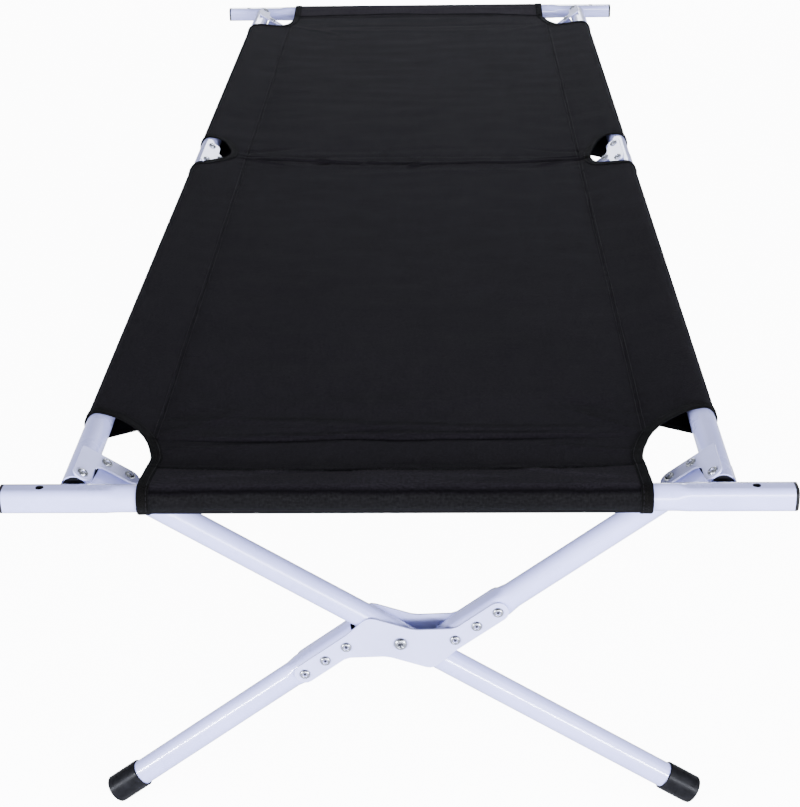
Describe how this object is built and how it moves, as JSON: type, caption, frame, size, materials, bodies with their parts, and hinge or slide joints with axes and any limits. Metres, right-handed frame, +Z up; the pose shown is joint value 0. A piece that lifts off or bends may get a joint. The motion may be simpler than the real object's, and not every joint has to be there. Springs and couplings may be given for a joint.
{
  "type": "folding cot",
  "caption": "Long low folding camp cot: side rails on crossed tube legs with riveted plates, separate end bars and a dark fabric bed.",
  "frame": {"origin": "centre of the footprint on the floor", "axes": "+X to the right seen from the near end, +Y along the length from the near end to the far end, +Z up"},
  "size_m": [0.7, 1.9014, 0.3891],
  "materials": {
    "frame_paint": "smooth pale blue-grey powder coat",
    "rivet_steel": "bright zinc plated",
    "foot_rubber": "semi-gloss black",
    "plug_plastic": "black",
    "cot_fabric": "black plain-weave polyester"
  },
  "bodies": {
    "right_side": {"rail_right_near": "frame_paint", "rail_plug_right_near": "plug_plastic", "side_sleeve_right_near": "cot_fabric", "rail_right_far": "frame_paint", "rail_plug_right_far": "plug_plastic", "side_sleeve_right_far": "cot_fabric", "bracket_right_near_upper": "frame_paint", "bracket_right_near_lower": "frame_paint", "bracket_right_middle_upper": "frame_paint", "bracket_right_middle_lower": "frame_paint", "bracket_right_far_upper": "frame_paint", "bracket_right_far_lower": "frame_paint", "leg_b_top_near": "frame_paint", "leg_b_low_near": "frame_paint", "foot_b_near": "foot_rubber", "cross_near_front": "frame_paint", "cross_near_back": "frame_paint", "pivot_near": "rivet_steel", "leg_b_top_middle": "frame_paint", "leg_b_low_middle": "frame_paint", "foot_b_middle": "foot_rubber", "cross_middle_front": "frame_paint", "cross_middle_back": "frame_paint", "pivot_middle": "rivet_steel", "leg_b_top_far": "frame_paint", "leg_b_low_far": "frame_paint", "foot_b_far": "foot_rubber", "cross_far_front": "frame_paint", "cross_far_back": "frame_paint", "pivot_far": "rivet_steel", "end_sleeve_near": "cot_fabric", "end_sleeve_far": "cot_fabric", "bed_panel": "cot_fabric"},
    "left_side": {"rail_left_near": "frame_paint", "rail_plug_left_near": "plug_plastic", "side_sleeve_left_near": "cot_fabric", "rail_left_far": "frame_paint", "rail_plug_left_far": "plug_plastic", "side_sleeve_left_far": "cot_fabric", "bracket_left_near_upper": "frame_paint", "bracket_left_near_lower": "frame_paint", "bracket_left_middle_upper": "frame_paint", "bracket_left_middle_lower": "frame_paint", "bracket_left_far_upper": "frame_paint", "bracket_left_far_lower": "frame_paint", "leg_a_near": "frame_paint", "foot_a_near": "foot_rubber", "leg_a_middle": "frame_paint", "foot_a_middle": "foot_rubber", "leg_a_far": "frame_paint", "foot_a_far": "foot_rubber"},
    "near_end_bar": {"bar_near": "frame_paint", "bar_plug_left_near": "plug_plastic", "bar_plug_right_near": "plug_plastic"},
    "far_end_bar": {"bar_far": "frame_paint", "bar_plug_left_far": "plug_plastic", "bar_plug_right_far": "plug_plastic"}
  },
  "joints": [
    {"name": "fold", "type": "hinge", "parent": "right_side", "child": "left_side", "pos_m": [0, 0, 0.1895], "axis": [0, 1, 0], "range_deg": [0, 104], "deforming": ["bed_panel"]},
    {"name": "near_bar_slide", "type": "slide", "parent": "right_side", "child": "near_end_bar", "axis": [1, 0, 0], "range_m": [0, 0.72]},
    {"name": "far_bar_slide", "type": "slide", "parent": "right_side", "child": "far_end_bar", "axis": [1, 0, 0], "range_m": [0, 0.72]}
  ]
}
